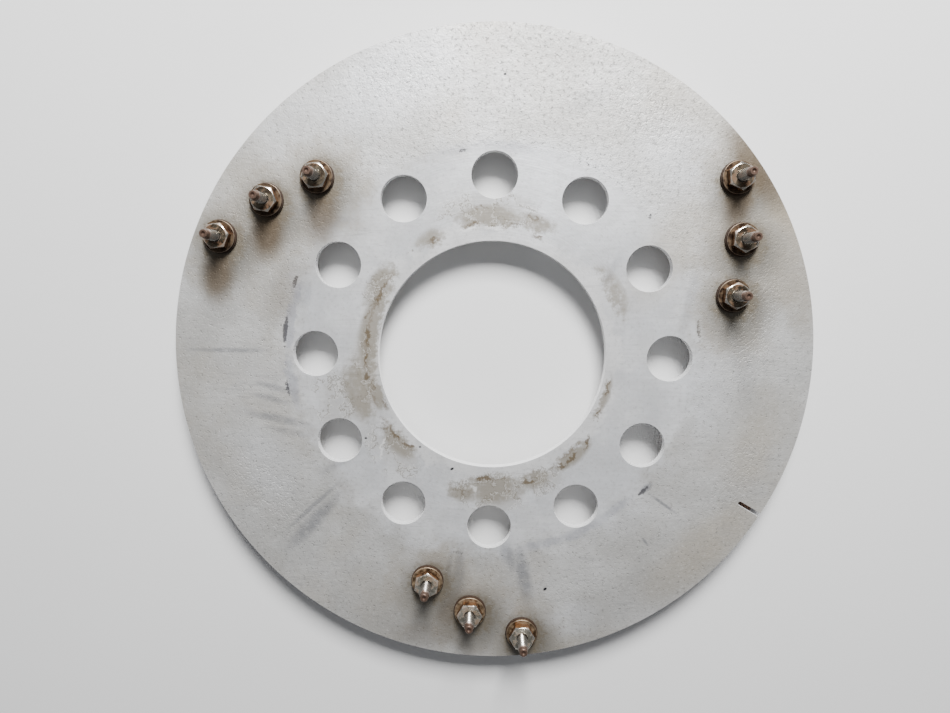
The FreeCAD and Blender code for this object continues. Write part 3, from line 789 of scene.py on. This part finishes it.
# %% Saw the index slot, and deburr
# The slot ends in a drilled hole, and the saw comes in from outside the rim.
SAW_OVERRUN = 2
carve(plate, drill(SLOT_WIDTH / 2, THROUGH, on_circle(PLATE_RADIUS - SLOT_DEPTH, SLOT_ANGLE), 24))
saw_x, saw_y = on_circle(PLATE_RADIUS - SLOT_DEPTH / 2 + SAW_OVERRUN / 2, SLOT_ANGLE)
pick()
bpy.ops.mesh.primitive_cube_add(size=MM, location=(saw_x * MM, saw_y * MM, PLATE_BACK * MM),
                                rotation=(0, 0, math.radians(SLOT_ANGLE)))
bpy.context.object.scale = (SLOT_DEPTH + SAW_OVERRUN, SLOT_WIDTH, 2 * THROUGH)
bpy.ops.object.transform_apply(location=True, rotation=True, scale=True)
carve(plate, bpy.context.object)
rounded(plate, width=0.45, segments=3)
fit(plate, plate_finish, "plate_aluminium", "mounting_plate")

# %% [markdown]
# ## Insulation and copper rings
# The moulding is one turned ring with three grooves, and each groove holds a copper ring. A cylinder with
# grooves cut out of it would do as well, but a spun section needs no cuts and has cleaner edges. The copper
# could stay a plain band, but brushes wear a shallow track into it, so its section dips by a few hundredths.

# %% Turn the insulation
TRACK_HALF = 3.175
GROOVE_HALF = TRACK_HALF + 0.1
RUNNING_SIDE, GROOVE_FLOOR = 0.8, 3.0
MOULDING_INNER, MOULDING_OUTER = 77.0, 106.5
section = [(MOULDING_INNER, PLATE_BACK), (MOULDING_INNER, RUNNING_SIDE)]
for out in TRACK_RADII.values():
    section += [(out - GROOVE_HALF, RUNNING_SIDE), (out - GROOVE_HALF, GROOVE_FLOOR)]
    section += [(out + GROOVE_HALF, GROOVE_FLOOR), (out + GROOVE_HALF, RUNNING_SIDE)]
section += [(MOULDING_OUTER, RUNNING_SIDE), (MOULDING_OUTER, PLATE_BACK)]
moulding = turned("moulding", section, 224)
rounded(moulding, width=0.3)
fit(moulding, moulding_finish, "moulded_insulation", "insulating_ring")

# %% Turn the copper rings
BRUSH_HALF, WORN_HALF, WEAR = 2.5, 2.2, 0.06
band_section = [
    (-TRACK_HALF, GROOVE_FLOOR), (-TRACK_HALF, 0.0), (-BRUSH_HALF, 0.0), (-WORN_HALF, WEAR),
    (WORN_HALF, WEAR), (BRUSH_HALF, 0.0), (TRACK_HALF, 0.0), (TRACK_HALF, GROOVE_FLOOR),
]
for ring, out in TRACK_RADII.items():
    band = turned(f"copper_{ring}", [(out + across, up) for across, up in band_section], 224)
    rounded(band, width=0.2)
    fit(band, copper_finish, "ring_copper", f"slip_ring_{ring}")

# %% [markdown]
# ## Terminals
# Each terminal is a stack: a fibre bushing on the plate, a washer, a nut, and a threaded stud through them
# all. The thread is a real helix. A spiral of cubes or a bump pattern would be cheaper, but a stud is seen
# from the side, where only a helix has the right outline. One of each piece is made, and then copied.

# %% Turn a bushing and a washer
BUSHING_HOLE, SLEEVE_RADIUS, FLANGE_RADIUS = 1.9, 3.2, 5.7
WASHER_HOLE, WASHER_RADIUS = 1.95, 5.45
sleeve_end = PLATE_BACK + 0.3
bushing = turned("bushing", [
    (BUSHING_HOLE, sleeve_end), (SLEEVE_RADIUS, sleeve_end), (SLEEVE_RADIUS, PLATE_FRONT),
    (FLANGE_RADIUS, PLATE_FRONT), (FLANGE_RADIUS, FLANGE_TOP), (BUSHING_HOLE, FLANGE_TOP),
], 64)
rounded(bushing, width=0.15)
washer = turned("washer", [
    (WASHER_HOLE, FLANGE_TOP), (WASHER_RADIUS, FLANGE_TOP),
    (WASHER_RADIUS, WASHER_TOP), (WASHER_HOLE, WASHER_TOP),
], 64)
rounded(washer, width=0.22, segments=3)
print("bushing and washer turned")

# %% Saw a nut from hexagon bar
ACROSS_FLATS = 7.94
NUT_CORNER = ACROSS_FLATS / math.sqrt(3)
pick()
bpy.ops.mesh.primitive_cylinder_add(vertices=6, radius=NUT_CORNER * MM, depth=(NUT_TOP - WASHER_TOP) * MM,
                                    location=(0, 0, (NUT_TOP + WASHER_TOP) / 2 * MM),
                                    rotation=(0, 0, math.radians(30)))
bpy.ops.object.transform_apply(location=True, rotation=True, scale=True)
nut = bpy.context.object
nut.name = "nut"
print("hexagon bar", round(2 * NUT_CORNER, 2), "mm across its corners")

# %% Chamfer and bore the nut on the lathe
# The nut keeps only what lies inside the cone, and its hole opens a little at the top. Both tools start
# below the nut, so that neither cut ends on its lower face.
CONE_RADIUS = NUT_CORNER + 0.02
CHAMFER_DROP, CHAMFER_REACH = 0.46, 0.9
NUT_HOLE, NUT_MOUTH, MOUTH_DROP = 1.8, 2.25, 0.35
NUDGE, OVERRUN = 0.1, 1
chamfer_cone = turned("chamfer_cone", [
    (0, WASHER_TOP - NUDGE), (CONE_RADIUS, WASHER_TOP - NUDGE), (CONE_RADIUS, NUT_TOP - CHAMFER_DROP),
    (NUT_CORNER - CHAMFER_REACH, NUT_TOP), (0, NUT_TOP),
], 96, closed=False)
carve(nut, chamfer_cone, "INTERSECT")
thread_hole = turned("thread_hole", [
    (0, WASHER_TOP - OVERRUN), (NUT_HOLE, WASHER_TOP - OVERRUN), (NUT_HOLE, NUT_TOP - MOUTH_DROP),
    (NUT_MOUTH, NUT_TOP + NUDGE), (NUT_MOUTH, NUT_TOP + OVERRUN), (0, NUT_TOP + OVERRUN),
], 48, closed=False)
carve(nut, thread_hole)
rounded(nut, width=0.07)
print("nut", len(nut.data.polygons), "faces")

# %% Turn a stud
# Its end is turned down and has a dimple, left by the centre that held it in the lathe.
CREST, TIP, TIP_CHAMFER = 1.74, 1.35, 0.15
FOOT, SHOULDER, SHOULDER_RISE, STUD_END = 1.5, 21.05, 0.35, cad_high.z / MM
DIMPLE_EDGE, DIMPLE_FLOOR, DIMPLE_SIDE, DIMPLE_DEPTH = 0.72, 0.4, 0.45, 0.55
stud = turned("stud", [
    (0, FOOT), (CREST, FOOT), (CREST, SHOULDER), (TIP, SHOULDER + SHOULDER_RISE),
    (TIP, STUD_END - TIP_CHAMFER), (TIP - TIP_CHAMFER, STUD_END), (DIMPLE_EDGE, STUD_END),
    (DIMPLE_FLOOR, STUD_END - DIMPLE_SIDE), (0, STUD_END - DIMPLE_DEPTH),
], 48, closed=False)
print("stud", round(STUD_END - FOOT, 2), "mm long")

# %% Cut its thread
# The die is a V that winds round the shank. Its two open ends are closed before it cuts.
THREAD_PITCH, THREAD_TURNS = 0.79375, 14
ROOT, OUTSIDE, DIE_HALF = 1.52, CREST + NUDGE, 0.33
thread_start = WASHER_TOP - 0.9
die = drawn("die", [
    (ROOT, thread_start), (OUTSIDE, thread_start - DIE_HALF), (OUTSIDE, thread_start + DIE_HALF),
])
apply_modifier(die, "SCREW", axis="Z", angle=math.tau, screw_offset=THREAD_PITCH * MM, steps=48,
               render_steps=48, iterations=THREAD_TURNS, use_merge_vertices=False)
pick(die)
bpy.ops.object.mode_set(mode="EDIT")
bpy.ops.mesh.select_all(action="SELECT")
bpy.ops.mesh.remove_doubles(threshold=1e-6)
bpy.ops.mesh.fill_holes(sides=4)
bpy.ops.mesh.normals_make_consistent(inside=False)
bpy.ops.object.mode_set(mode="OBJECT")
carve(stud, die)
pick(stud)
bpy.ops.object.shade_smooth_by_angle(angle=math.radians(35))
print("stud", len(stud.data.polygons), "faces")

# %% Set up the nine terminals
# Each nut stopped at its own angle when it was tightened, and no two studs show their thread alike.
STUD_TURN = 77
NUT_TURNS = {"inner": (28, 6, 23), "middle": (29, -9, 0), "outer": (36, 8, 2)}
washers, nuts = [], []
for count, ((ring, station), at) in enumerate(TERMINALS.items()):
    name = f"{ring}_{station}"
    stud_here = copied(stud, f"stud_{name}", at, STUD_TURN * count)
    bushing_here = copied(bushing, f"bushing_{name}", at)
    fit(stud_here, stud_finish, "stud_metal", f"terminal_stud_{name}")
    fit(bushing_here, bushing_finish, "bushing_fibre", f"terminal_bushing_{name}")
    washers.append(copied(washer, f"washer_{name}", at))
    nuts.append(copied(nut, f"nut_{name}", at, NUT_TURNS[ring][station - 1]))
fit(joined(washers, "washers"), washer_finish, "washer_metal", "terminal_washers")
fit(joined(nuts, "nuts"), nut_finish, "nut_metal", "terminal_nuts")
for pattern in (stud, bushing, washer, nut):
    bpy.data.objects.remove(pattern)

# %% [markdown]
# ## Floor, light and camera
# The floor is plain and pale. A small sun would give hard shadows and a bare sky none, so the main light is
# a soft box beyond the top of the disc. Shadows fall softly towards the lower edge of the picture, and a
# pale sky fills them in. The camera is so near that the studs seem to lean outwards. It could be turned by
# three angles, but a place and an aim are easier to read, so its axes are worked out from those.

# %% Lay the floor
pick()
bpy.ops.mesh.primitive_plane_add(size=4)
floor = bpy.context.object
floor.name = "floor"
floor_finish, tree, shader, place = new_finish("pale_floor", Roughness=0.85)
paper = blend(tree, noise(tree, place, 0.02), (0.92, 0.92, 0.915, 1), (0.94, 0.94, 0.935, 1))
put(tree, shader["Base Color"], paper)
floor.data.materials.append(floor_finish)
print("floor laid at", floor.location.z)


# %% Hang the lights
def soft_box(name, place, size, watts):
    """A square lamp that faces the middle of the plate."""
    lamp = bpy.data.lights.new(name, "AREA")
    lamp.size, lamp.energy = size, watts
    box = bpy.data.objects.new(name, lamp)
    bpy.context.scene.collection.objects.link(box)
    box.location = place
    box.rotation_euler = (Vector((0, 0, 0)) - Vector(place)).to_track_quat("-Z", "Y").to_euler()
    return box


soft_box("window_light", (0.06, 0.49, 0.465), 0.24, 11.5)
sky = bpy.data.worlds.new("pale_sky")
sky.use_nodes = True
background = sky.node_tree.nodes["Background"].inputs
background["Color"].default_value = (0.93, 0.95, 1.0, 1)
background["Strength"].default_value = 0.16
bpy.context.scene.world = sky
print("one soft box and a pale sky")

# %% Set up the camera
# It hangs over the bore, a little towards the top of the disc, and is turned by less than one degree.
EYE = Vector((-2.45, 23.39, 224.9)) * MM
AIM = Vector((-5.73, -0.25, 10.0)) * MM
LEAN = Vector((-0.01323, 1, 0))
forwards = (AIM - EYE).normalized()
rightwards = forwards.cross(LEAN).normalized()
upwards = rightwards.cross(forwards)
lens = bpy.data.cameras.new("camera")
lens.lens = 24.03
lens.sensor_width = 36
lens.sensor_fit = "HORIZONTAL"
lens.clip_start = 0.01
lens.clip_end = 20
camera = bpy.data.objects.new("camera", lens)
bpy.context.scene.collection.objects.link(camera)
camera.matrix_world = Matrix.Translation(EYE) @ Matrix((rightwards, upwards, -forwards)).transposed().to_4x4()
bpy.context.scene.camera = camera
print("camera", round(EYE.length / MM), "mm from the bore")
